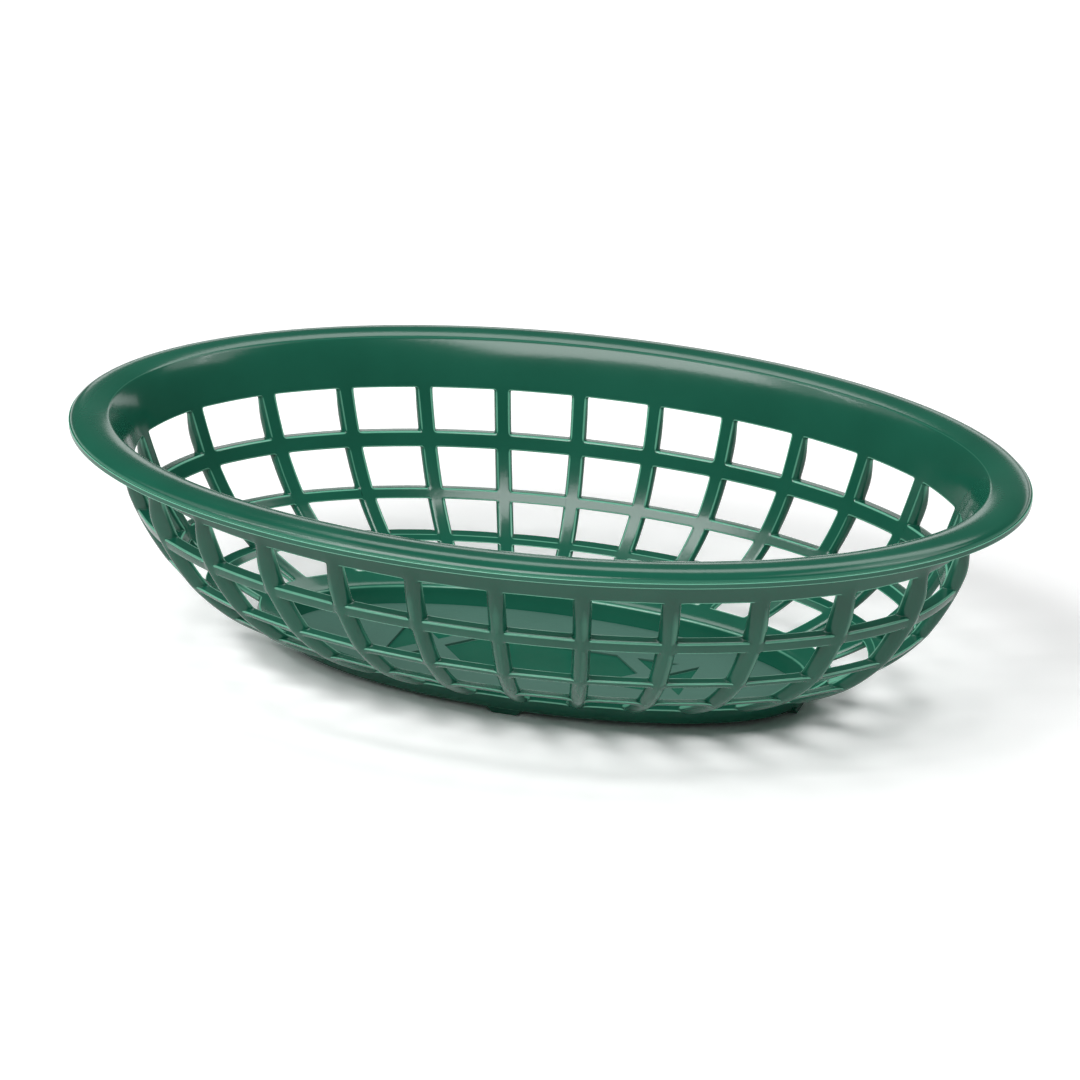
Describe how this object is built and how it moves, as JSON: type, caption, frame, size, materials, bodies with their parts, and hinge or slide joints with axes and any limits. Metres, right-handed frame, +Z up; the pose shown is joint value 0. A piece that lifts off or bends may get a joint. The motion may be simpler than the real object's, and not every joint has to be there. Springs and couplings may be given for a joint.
{
  "type": "oval serving basket",
  "caption": "Oval moulded serving basket: rolled rim over a solid band, an open lattice wall of hoops and half-round ribs, and a recessed foot with a panelled floor.",
  "frame": {"origin": "centre of the footprint, on the plane the foot nubs stand on", "axes": "+X along the oval's long axis, +Y along its short axis, +Z up through the open mouth"},
  "size_m": [0.238, 0.148, 0.0612],
  "materials": {
    "green_plastic": "glossy moulded forest green polypropylene"
  },
  "bodies": {
    "root": {"rim": "green_plastic", "upper_band": "green_plastic", "hoop_upper": "green_plastic", "hoop_middle": "green_plastic", "hoop_lower": "green_plastic", "rib_01": "green_plastic", "rib_02": "green_plastic", "rib_03": "green_plastic", "rib_04": "green_plastic", "rib_05": "green_plastic", "rib_06": "green_plastic", "rib_07": "green_plastic", "rib_08": "green_plastic", "rib_09": "green_plastic", "rib_10": "green_plastic", "rib_11": "green_plastic", "rib_12": "green_plastic", "rib_13": "green_plastic", "rib_14": "green_plastic", "rib_15": "green_plastic", "rib_16": "green_plastic", "rib_17": "green_plastic", "rib_18": "green_plastic", "rib_19": "green_plastic", "rib_20": "green_plastic", "rib_21": "green_plastic", "rib_22": "green_plastic", "rib_23": "green_plastic", "rib_24": "green_plastic", "rib_25": "green_plastic", "rib_26": "green_plastic", "base_flange": "green_plastic", "foot_ring": "green_plastic", "floor_plate": "green_plastic", "foot_nub_1": "green_plastic", "foot_nub_2": "green_plastic", "foot_nub_3": "green_plastic", "foot_nub_4": "green_plastic"}
  },
  "joints": []
}
